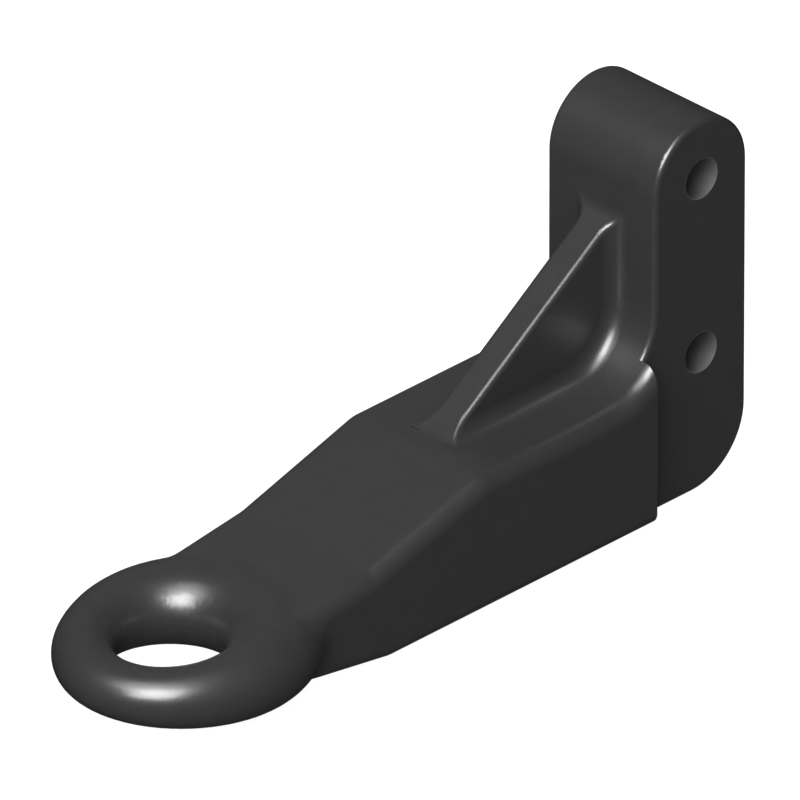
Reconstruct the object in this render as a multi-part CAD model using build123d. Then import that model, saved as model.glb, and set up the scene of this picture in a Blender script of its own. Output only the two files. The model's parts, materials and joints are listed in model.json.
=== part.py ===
from build123d import *
import math
import os

# A forged steel drawbar eye: a ring for the pin of a towing vehicle, at the end of a thick
# angled arm, which rises to an upright mounting head that two cross bolts hold.
# It is one piece. A solid rib on the centreline stiffens the corner of arm and head.
# X points forward, from the head to the ring. Z points up. Y is across.
# The origin is the centre of the ring's hole. Lengths are in millimetres, angles in degrees.
# "Back" in a name is a distance behind the centre of the hole.

# the ring: its thickness from the hole outwards, and its height, at three places
hole_diameter = 50.5
tip_thickness = 28.9
tip_height = 25.6
side_thickness = 32.2
side_height = 32.8
root_thickness = 49.6
root_height = 39.8
sections_per_quarter = 3

# the arm
arm_width = 88.6
arm_bottom = -25.0
shelf_height = 68.6
slope_foot_back = 86.4
slope_top_back = 156.9
bend_radius = 20.0
nose_bottom_back = 96.6
nose_top_inset = 1.3
nose_top_rise = 4.4
nose_bottom_inset = 2.2
top_edge_radius = 8.0
bottom_edge_radius = 6.0
ring_blend_radius = 25.0

# the mounting head
head_width = 69.0
head_depth = 59.0
head_front_back = 274.1
head_edge_radius = 2.5
heel_radius = 34.5
corner_radius = 35.4
shoulder_setback = 8.0

# the cross bolts
bolt_hole_diameter = 20.4
bolt_pitch = 90.4
lower_bolt_height = 71.2

# the rib
rib_thickness = 17.2
rib_angle = 35.0
rib_foot_setback = 9.8
rib_root_radius = 8.0
rib_edge_radius = 2.5

hole_radius = hole_diameter / 2
root_middle_back = hole_radius + root_thickness / 2
shelf_level = arm_bottom + shelf_height
upper_bolt_level = arm_bottom + lower_bolt_height + bolt_pitch
head_back = head_front_back + head_depth
corner_start_back = head_front_back - corner_radius
corner_top_level = shelf_level + corner_radius
shoulder_back = head_front_back - shoulder_setback
rib_foot_back = slope_top_back + rib_foot_setback


def between(tip, side, root, angle):
    """A size of the ring that passes smoothly from its tip to its root."""
    even = (root + tip) / 4
    turn = math.radians(angle)
    return even + side / 2 + (root - tip) / 2 * math.cos(turn) + (even - side / 2) * math.cos(2 * turn)


def ring_section(angle):
    """The ring's oval section. An angle of 0 is at the arm and 180 is at the tip."""
    thickness = between(tip_thickness, side_thickness, root_thickness, angle)
    height = between(tip_height, side_height, root_height, angle)
    turn = math.radians(angle)
    outwards = Vector(-math.cos(turn), math.sin(turn), 0)
    along = Vector(math.sin(turn), math.cos(turn), 0)
    place = Plane(origin=outwards * (hole_radius + thickness / 2), x_dir=-outwards, z_dir=along)
    return place * Ellipse(thickness / 2, height / 2)


def half_ring(start, side):
    """Half of the ring from this angle on, made a little too long and trimmed where the halves meet."""
    step = 90 / sections_per_quarter
    count = 2 * sections_per_quarter + 3
    strip = loft([ring_section(start + (i - 1) * step) for i in range(count)])
    return split(strip, bisect_by=Plane.YZ, keep=side)


def ring():
    """The halves meet beside the hole, so the surface that the arm runs into is all in one piece."""
    return half_ring(-90, Keep.BOTTOM) + half_ring(90, Keep.TOP)


def flat(back, level):
    """A point of the side view, on the plane of symmetry."""
    return Vector(-back, 0, level)


def across(outline, width):
    """A body of this width from a closed outline of the side view."""
    return extrude(make_face(outline), amount=width / 2, dir=(0, 1, 0), both=True)


def round_creases(body, points, radius):
    """Round the creases that cross the body at these points of the side view."""
    creases = [body.edges().filter_by(Axis.Y).sort_by_distance(point)[0] for point in points]
    return fillet(creases, radius)


def long_edges(body, upper):
    """The edges that run along both flanks, above the ring's mid level or below it."""
    flanks = body.faces().filter_by(Axis.Y)
    edges = [edge for flank in flanks for edge in flank.edges().filter_by(Axis.Z, reverse=True)]
    return [edge for edge in edges if (edge.center().Z > 0) == upper]


def corner_point(angle):
    """A point of the hollow corner between shelf and head. 0 is on the shelf, 90 on the head."""
    turn = math.radians(angle)
    back = corner_start_back + corner_radius * math.sin(turn)
    return flat(back, corner_top_level - corner_radius * math.cos(turn))


def on_to_hole(start, through):
    """Where the line from start through the next point stands above or below the hole's centre."""
    return start + (through - start) * (start.X / (start.X - through.X))


def arm():
    """The arm with its nose trimmed to end inside the ring."""
    nose_level = root_height / 2 - nose_top_inset
    slope_foot = flat(slope_foot_back, nose_level + nose_top_rise)
    slope_top = flat(slope_top_back, shelf_level)
    nose_turn = flat(nose_bottom_back, arm_bottom)
    nose_top = on_to_hole(slope_foot, flat(root_middle_back, nose_level))
    nose_low = on_to_hole(nose_turn, flat(root_middle_back, nose_bottom_inset - root_height / 2))
    shoulder = math.degrees(math.asin(1 - shoulder_setback / corner_radius))
    top = Polyline(nose_top, slope_foot, slope_top, corner_point(0))
    corner = ThreePointArc(corner_point(0), corner_point(shoulder / 2), corner_point(shoulder))
    rest = Polyline(corner_point(shoulder), flat(shoulder_back, arm_bottom), nose_turn, nose_low, nose_top)
    body = across([top, corner, rest], arm_width)
    body = round_creases(body, [slope_foot, slope_top, nose_turn], bend_radius)
    body = body - Cylinder(root_middle_back, 4 * root_height)
    body = fillet(long_edges(body, True), top_edge_radius)
    return fillet(long_edges(body, False), bottom_edge_radius)


def ring_and_arm():
    """The ring and the arm, with a broad hollow blend where they meet."""
    eye = ring()
    shank = arm()
    whole = eye + shank
    return fillet(new_edges(eye, shank, combined=whole), ring_blend_radius)


def head():
    """The upright mounting head with its round top, rounded heel and hollow corner."""
    round_top = flat(head_front_back + head_depth / 2, upper_bolt_level + head_depth / 2)
    heel_turn = heel_radius * math.sqrt(0.5)
    heel_middle = flat(head_back - heel_radius + heel_turn, arm_bottom + heel_radius - heel_turn)
    heel_top = flat(head_back, arm_bottom + heel_radius)
    heel_foot = flat(head_back - heel_radius, arm_bottom)
    front_top = flat(head_front_back, upper_bolt_level)
    back_top = flat(head_back, upper_bolt_level)
    outline = [
        ThreePointArc(corner_point(0), corner_point(45), corner_point(90)),
        Line(corner_point(90), front_top),
        ThreePointArc(front_top, round_top, back_top),
        Line(back_top, heel_top),
        ThreePointArc(heel_top, heel_middle, heel_foot),
        Polyline(heel_foot, flat(corner_start_back, arm_bottom), corner_point(0)),
    ]
    body = across(outline, head_width)
    flanks = body.faces().filter_by(Axis.Y)
    return fillet(flanks.edges(), head_edge_radius)


def rib_outline():
    """The rib's side view, sunk into the arm and the head."""
    toe = rib_root_radius / 2
    reach = 2 * rib_root_radius
    rise = (head_front_back - rib_foot_back) * math.tan(math.radians(rib_angle))
    foot = flat(rib_foot_back, shelf_level)
    top = flat(head_front_back, shelf_level + rise)
    sunk_back = head_front_back + reach
    sunk_level = shelf_level - reach
    front = rib_foot_back - toe
    line = Polyline(
        flat(front, shelf_level), foot, top, flat(head_front_back, top.Z + reach),
        flat(sunk_back, top.Z + reach), flat(sunk_back, sunk_level), flat(front, sunk_level),
        close=True,
    )
    face = make_face(line)
    bends = [face.vertices().sort_by_distance(point)[0] for point in (foot, top)]
    return fillet(bends, rib_root_radius)


def flare_section(place):
    """The rib's foot in section: as thick as the rib at its top, spreading in two hollow arcs."""
    half = rib_thickness / 2
    spread = half + rib_root_radius
    bend = rib_root_radius * (1 - math.sqrt(0.5))
    right = ThreePointArc((spread, 0), (half + bend, bend), (half, rib_root_radius))
    left = ThreePointArc((-half, rib_root_radius), (-half - bend, bend), (-spread, 0))
    top = Line((half, rib_root_radius), (-half, rib_root_radius))
    base = Polyline((-spread, 0), (-spread, -rib_root_radius), (spread, -rib_root_radius), (spread, 0))
    return place * make_face([right, top, left, base])


def rib():
    """The rib, with hollow fillets where it stands on the shelf, the corner and the head."""
    outline = rib_outline()
    box = outline.bounding_box()
    web = extrude(outline, amount=rib_thickness / 2, dir=(0, 1, 0), both=True)
    keep = extrude(outline, amount=rib_thickness / 2 + 2 * rib_root_radius, dir=(0, 1, 0), both=True)
    shelf_place = Plane(origin=corner_point(0), x_dir=(0, 1, 0), z_dir=(1, 0, 0))
    head_place = Plane(origin=corner_point(90), x_dir=(0, -1, 0), z_dir=(0, 0, 1))
    shelf_length = corner_start_back - rib_foot_back
    head_length = box.max.Z - corner_top_level - rib_root_radius
    on_shelf = extrude(flare_section(shelf_place), amount=shelf_length)
    on_head = extrude(flare_section(head_place), amount=head_length)
    axis = Axis(flat(corner_start_back, corner_top_level), (0, 1, 0))
    in_corner = revolve(flare_section(shelf_place), axis, 90)
    body = web + ((on_shelf + in_corner + on_head) & keep)
    slope = math.radians(rib_angle)
    crest = body.edges().filter_by(Axis((0, 0, 0), (-math.cos(slope), 0, math.sin(slope))))
    return fillet(crest, rib_edge_radius)


def bolt_holes():
    """The two cross bores for the bolts."""
    middle = head_front_back + head_depth / 2
    bore = Rot(90, 0, 0) * Cylinder(bolt_hole_diameter / 2, 2 * head_width)
    lower = Pos(flat(middle, upper_bolt_level - bolt_pitch)) * bore
    return lower + Pos(flat(middle, upper_bolt_level)) * bore


def drawbar_eye():
    """The whole forging."""
    return ring_and_arm() + head() + rib() - bolt_holes()


if __name__ == "__main__":
    os.makedirs("parts", exist_ok=True)
    export_step(drawbar_eye(), "parts/drawbar_eye.step")
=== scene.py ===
# %% [markdown]
# # A forged drawbar eye under studio light
#
# The object is one heavy forging: a ring for the pin of a towing vehicle, a thick arm, and an
# upright head with two bolt holes. It is painted in satin black, so nearly all that the eye reads
# is shape and shine. The lesson brings in the finished shape, puts a camera where the picture was
# taken, makes the paint out of a few noises, and lights it so that the round edges draw bright
# streaks.
#
# The shape could be built again here with subdivided surfaces, but it exists already as an exact
# solid with all its blends and fillets. So it is loaded and left as it is, and the work goes into
# what the solid lacks: its paint, its skin and its light.

import json
import math

import bpy
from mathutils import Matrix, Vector


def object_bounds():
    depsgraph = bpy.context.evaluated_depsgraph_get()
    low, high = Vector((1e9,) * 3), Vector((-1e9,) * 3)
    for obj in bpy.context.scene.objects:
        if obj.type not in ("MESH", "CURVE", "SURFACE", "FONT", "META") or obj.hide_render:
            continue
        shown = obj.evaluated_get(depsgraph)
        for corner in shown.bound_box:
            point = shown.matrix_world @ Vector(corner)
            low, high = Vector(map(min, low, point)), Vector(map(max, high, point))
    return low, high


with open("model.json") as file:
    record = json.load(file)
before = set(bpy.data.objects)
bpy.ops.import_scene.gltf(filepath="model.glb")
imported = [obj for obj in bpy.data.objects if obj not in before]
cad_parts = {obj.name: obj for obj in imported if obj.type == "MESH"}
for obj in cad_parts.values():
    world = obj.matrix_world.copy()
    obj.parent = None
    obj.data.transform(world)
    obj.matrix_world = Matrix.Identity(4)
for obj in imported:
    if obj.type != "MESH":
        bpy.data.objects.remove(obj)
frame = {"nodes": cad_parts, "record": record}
forging = frame["nodes"]["drawbar_eye"]
shape_box = [list(corner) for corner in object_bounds()]
print("forging", len(forging.data.polygons), "faces, box", shape_box)

# %% [markdown]
# ## The camera
#
# The picture is a parallel projection, seen from 30 degrees above and 45 degrees round from the
# ring's end. A very long lens a long way off looks the same, and unlike a parallel camera it can
# step back to take in the whole object from any other side.

# %% Camera directions
VIEW_TURN = math.radians(135)
VIEW_RISE = math.radians(30)

towards_camera = Vector(
    (
        math.sin(VIEW_TURN) * math.cos(VIEW_RISE),
        -math.cos(VIEW_TURN) * math.cos(VIEW_RISE),
        math.sin(VIEW_RISE),
    )
)
picture_right = Vector((math.cos(VIEW_TURN), math.sin(VIEW_TURN), 0))
picture_up = towards_camera.cross(picture_right)
print("towards the camera", towards_camera)

# %% [markdown]
# ## Placing the camera
#
# The camera could be nudged by hand until the outlines meet, but it can also be worked out. The
# frame's origin is the centre of the ring's hole. Its place in the picture and the picture's
# scale fix the point that the camera looks at. That point is then moved along the line of sight
# to the depth of the object's middle, so that the scale holds there.

# %% Place the camera
METRES_PER_PIXEL = 0.00045
PICTURE_SIDE = 800
HOLE_PIXEL_X = 171.1
HOLE_PIXEL_Y = 652.35
LENS_MM = 1700
SENSOR_MM = 36

middle = sum((Vector(corner) for corner in shape_box), Vector()) / 2
right_of_hole = (PICTURE_SIDE / 2 - HOLE_PIXEL_X) * METRES_PER_PIXEL
above_hole = (HOLE_PIXEL_Y - PICTURE_SIDE / 2) * METRES_PER_PIXEL
aim = picture_right * right_of_hole + picture_up * above_hole
aim += towards_camera * middle.dot(towards_camera)
distance = METRES_PER_PIXEL * PICTURE_SIDE * LENS_MM / SENSOR_MM

camera_data = bpy.data.cameras.new("camera")
camera_data.sensor_width = SENSOR_MM
camera_data.lens = LENS_MM
camera = bpy.data.objects.new("camera", camera_data)
camera.location = aim + towards_camera * distance
camera.rotation_mode = "QUATERNION"
camera.rotation_quaternion = towards_camera.to_track_quat("Z", "Y")
bpy.context.scene.collection.objects.link(camera)
bpy.context.scene.camera = camera
print("camera at", camera.location, "distance", distance)

# %% [markdown]
# ## Writing shader maths as sums
#
# A finish is a sum of patterns. It could be wired node by node, but thirty lines of links hide
# what they add up to. So one small class holds one output of a node and lets it be added and
# multiplied like a number, and the other holds a material's nodes and adds a node in one call.
# Each material then reads as a formula.

# %% A value that flows through a material


class Flow:
    """One output of a node, which can stand in a sum like a number."""

    def __init__(self, recipe, socket):
        self.recipe = recipe
        self.socket = socket

    def maths(self, operation, first, second):
        """One Math node that works on these two values."""
        return self.recipe.node("ShaderNodeMath", {"operation": operation}, {0: first, 1: second})

    def __add__(self, other):
        return self.maths("ADD", self, other)

    def __radd__(self, other):
        return self.maths("ADD", other, self)

    def __sub__(self, other):
        return self.maths("SUBTRACT", self, other)

    def __rsub__(self, other):
        return self.maths("SUBTRACT", other, self)

    def __mul__(self, other):
        return self.maths("MULTIPLY", self, other)

    def __rmul__(self, other):
        return self.maths("MULTIPLY", other, self)

    def __lt__(self, other):
        return self.maths("LESS_THAN", self, other)


# %% A material as a recipe
# The Mix node has one row of sockets for each kind of value. These are its places for colours.
MIX_SHARE = 0
MIX_FIRST = 6
MIX_SECOND = 7
MIX_RESULT = 2


class Recipe:
    """A new material and its nodes."""

    def __init__(self, name):
        self.material = bpy.data.materials.new(name)
        self.material.use_nodes = True
        self.tree = self.material.node_tree
        self.tree.nodes.clear()

    def node(self, kind, settings, values, output=0):
        """A node of this kind: its settings are set first, then its sockets are set or linked."""
        new = self.tree.nodes.new(kind)
        for name, setting in settings.items():
            setattr(new, name, setting)
        for name, value in values.items():
            if isinstance(value, Flow):
                self.tree.links.new(value.socket, new.inputs[name])
            else:
                new.inputs[name].default_value = value
        return Flow(self, new.outputs[output])

    def noise(self, place, waves_per_metre, detail, roughness):
        """A cloudy pattern from 0 to 1, with about this many waves to the metre."""
        values = {"Vector": place, "Scale": waves_per_metre, "Detail": detail, "Roughness": roughness}
        return self.node("ShaderNodeTexNoise", {}, values)

    def mixed_colour(self, share, first, second):
        """The first colour where the share is 0 and the second where it is 1."""
        values = {MIX_SHARE: share, MIX_FIRST: first, MIX_SECOND: second}
        return self.node("ShaderNodeMix", {"data_type": "RGBA"}, values, output=MIX_RESULT)

    def finish(self, values):
        """The surface shader, joined to the material's output."""
        surface = self.node("ShaderNodeBsdfPrincipled", {}, values)
        output = self.tree.nodes.new("ShaderNodeOutputMaterial")
        self.tree.links.new(surface.socket, output.inputs["Surface"])
        return self.material


# %% [markdown]
# ## Satin black paint over a forged skin
#
# The steel was hammered in a die and shot-blasted, so it keeps a fine pitted skin under the paint,
# with slow swells where the die was dressed. The paint softens the pits, dries with the faint
# dimples that painters call orange peel, and is a little duller where it is thin.
#
# A picture of real paint could be wrapped round the forging, but it would stretch or show a seam
# somewhere on the ring. Noise needs no wrapping. It fills the space that the object stands in, and
# it is read at the object's own coordinates, so it stays in place from every side.

# %% Patterns of the painted skin
SWELLS_PER_METRE = 45
THIN_PLACES_PER_METRE = 90
PITS_PER_METRE = 620
DIMPLES_PER_METRE = 1500

paint = Recipe("satin_black_paint")
place = paint.node("ShaderNodeTexCoord", {}, {}, output="Object")
swell = paint.noise(place, SWELLS_PER_METRE, detail=1, roughness=0.5)
thin_paint = paint.noise(place, THIN_PLACES_PER_METRE, detail=4, roughness=0.6)
pits = paint.noise(place, PITS_PER_METRE, detail=3, roughness=0.6)
orange_peel = paint.noise(place, DIMPLES_PER_METRE, detail=1, roughness=0.5)
print("patterns", len(paint.tree.nodes), "nodes")

# %% [markdown]
# ## The bolt bores
#
# The walls of the two bores for the cross bolts are given a lighter grey than the paint beside them.
# This is a painted light that stands in for the light the lamps cannot bring deep into them, and
# the walls are also duller. Their walls could get a material of their own, face by face, but the mesh
# is only lent to this scene and stays as it is.
# So the one material finds them by place: a bore is all that lies close to the line of its bolt,
# and the record of the part says where that line is.

# %% A mask close to each bolt's line
BORE_RIM = 0.00015
MM_PER_METRE = 1000

bolts = next(mount for mount in frame["record"]["mounts"] if mount["name"] == "cross_bolts")
bore_reach = bolts["dims"]["hole_r_mm"] / MM_PER_METRE + BORE_RIM
half_pitch = bolts["dims"]["spacing_y_mm"] / MM_PER_METRE / 2
bolt_x = bolts["pos_m"][0]
bolt_z = bolts["pos_m"][2]

place_x = paint.node("ShaderNodeSeparateXYZ", {}, {"Vector": place}, output="X")
place_z = paint.node("ShaderNodeSeparateXYZ", {}, {"Vector": place}, output="Z")


def near_bolt(level):
    """1 close to the line of the bolt at this level, and 0 elsewhere."""
    ahead = place_x - bolt_x
    above = place_z - level
    return (ahead * ahead + above * above) < bore_reach * bore_reach


bore = near_bolt(bolt_z - half_pitch) + near_bolt(bolt_z + half_pitch)
print("bores at levels", bolt_z - half_pitch, bolt_z + half_pitch, "reach", bore_reach)

# %% [markdown]
# ## Colour, shine and relief
#
# The paint is nearly black, and its shade drifts by a hair between thick and thin places. Its
# shine is that of a satin coat: dull enough to spread a lamp into a soft streak, and smooth enough
# for the streak to have a bright core. A clear coat on top could do that too, but this paint has
# one layer, so one shine is enough. The pits and dimples could be real dents, but they are far
# finer than the mesh, so they are a bump, which only tilts the light.

# %% Colour and shine
PAINT_THICK = (0.0145, 0.0145, 0.015, 1)
PAINT_THIN = (0.0175, 0.0175, 0.018, 1)
# A lighter grey for the bore walls: painted light that stands in for the lamps' light inside the
# bores.
BORE_PAINTED_LIGHT = (0.05, 0.05, 0.051, 1)
SATIN = 0.27
THIN_PAINT_DULLS = 0.05
PITS_DULL = 0.04
BORE_DULLNESS = 0.6

paint_colour = paint.mixed_colour(thin_paint, PAINT_THICK, PAINT_THIN)
paint_dullness = SATIN + thin_paint * THIN_PAINT_DULLS + pits * PITS_DULL
# The bore walls get the lighter grey, a painted light inside the bores, and a duller shine.
paint_colour_and_bore_light = paint.mixed_colour(bore, paint_colour, BORE_PAINTED_LIGHT)
skin_dullness = paint_dullness * (1 - bore) + bore * BORE_DULLNESS
print("colour and shine", len(paint.tree.nodes), "nodes")

# %% Relief and the finished paint
PAINT_IOR = 1.6
RELIEF_HEIGHT = 0.0004
RELIEF_STRENGTH = 0.45
SWELL_SHARE = 0.5
PIT_SHARE = 0.3
DIMPLE_SHARE = 0.08

relief = swell * SWELL_SHARE + pits * PIT_SHARE + orange_peel * DIMPLE_SHARE
bump_values = {"Strength": RELIEF_STRENGTH, "Distance": RELIEF_HEIGHT, "Height": relief}

painted_steel = paint.finish(
    {
        "Base Color": paint_colour_and_bore_light,
        "Roughness": skin_dullness,
        "IOR": PAINT_IOR,
        "Normal": paint.node("ShaderNodeBump", {}, bump_values),
    }
)
forging.data.materials.clear()
forging.data.materials.append(painted_steel)
print("paint", len(paint.tree.nodes), "nodes")

# %% [markdown]
# ## The table
#
# The forging stands on a wide pale table. A plain white one would need so much light to come out
# white that the black paint would turn grey. So this one glows a little from within, like the lit
# table of a catalogue studio, and the shadows on it stay faint. It would also mirror in the paint,
# so it is kept out of the shine, as a photographer does with black cards. It still sends its soft
# light up to the object.

# %% Floor
FLOOR_REACH = 12.0
TABLE_GREY = (0.1, 0.1, 0.1, 1)
TABLE_DULLNESS = 0.9
TABLE_GLOW = 0.97
WHITE = (1, 1, 1, 1)

low = shape_box[0][2]
round_the_edge = [(-1, -1), (1, -1), (1, 1), (-1, 1)]
corners = [(x * FLOOR_REACH, y * FLOOR_REACH, low) for x, y in round_the_edge]
floor_mesh = bpy.data.meshes.new("floor")
floor_mesh.from_pydata(corners, [], [(0, 1, 2, 3)])
glowing_table = Recipe("light_table").finish(
    {
        "Base Color": TABLE_GREY,
        "Roughness": TABLE_DULLNESS,
        "Emission Color": WHITE,
        "Emission Strength": TABLE_GLOW,
    }
)
floor_mesh.materials.append(glowing_table)
floor = bpy.data.objects.new("floor", floor_mesh)
floor.visible_glossy = False
bpy.context.scene.collection.objects.link(floor)
print("floor at", low)

# %% [markdown]
# ## The lamps
#
# Lamps could be moved about until the picture looks right. But a bright streak lies where the
# surface is turned half way between the lamp and the camera, so each streak in the picture tells
# where its lamp stood. The key lamp, ahead and above, draws the streaks on the ring, on the rib's
# crest and in the corner. A weaker one, higher up, widens the streak on the ring's far side. Both
# are broad panels, so a streak has a flat bright core and soft edges. Three fill lamps, from the
# side, overhead and behind, lift the dark walls and the bores. They are hidden from the shine, so
# they draw no streaks of their own.

# %% Lamps
LAMP_DISTANCE = 3.0


def lamp(name, direction, side, watts, shine=True):
    """A square lamp that shines at the middle of the forging."""
    data = bpy.data.lights.new(name, "AREA")
    data.size = side
    data.energy = watts
    new = bpy.data.objects.new(name, data)
    new.visible_glossy = shine
    towards = Vector(direction).normalized()
    new.location = middle + towards * LAMP_DISTANCE
    new.rotation_mode = "QUATERNION"
    new.rotation_quaternion = towards.to_track_quat("Z", "Y")
    bpy.context.scene.collection.objects.link(new)
    print("lamp", name, "at", new.location)


lamp("key", (0.67, 0.32, 0.67), side=1.7, watts=190)
lamp("top", (0.45, 0.00, 0.89), side=1.7, watts=55)
lamp("side_fill", (0.30, 0.90, 0.30), side=1.0, watts=34, shine=False)
lamp("overhead_fill", (0.00, 0.00, 1.00), side=1.0, watts=45, shine=False)
lamp("back_fill", (-0.55, -0.75, 0.35), side=1.0, watts=190, shine=False)

# %% [markdown]
# ## White surroundings
#
# Past the table's edge the camera sees the world's own colour. A curved wall could hide that edge
# from one side, but the camera may look from any. So the world is as white as the glowing table,
# and the edge hardly shows. The world's own light is kept off the forging, which is lit by the
# lamps and the table alone.

# %% White surroundings
world = bpy.data.worlds.new("studio")
world.use_nodes = True
background = world.node_tree.nodes["Background"]
background.inputs["Color"].default_value = WHITE
world.cycles_visibility.diffuse = False
world.cycles_visibility.glossy = False
bpy.context.scene.world = world
print("surroundings white, strength", background.inputs["Strength"].default_value)

# %% [markdown]
# ## Keeping the shades
#
# A picture can be shown through a film-like curve, which makes black paint look washed out, so
# the shades are shown as they are.

# %% Keep the shades
bpy.context.scene.view_settings.view_transform = "Standard"
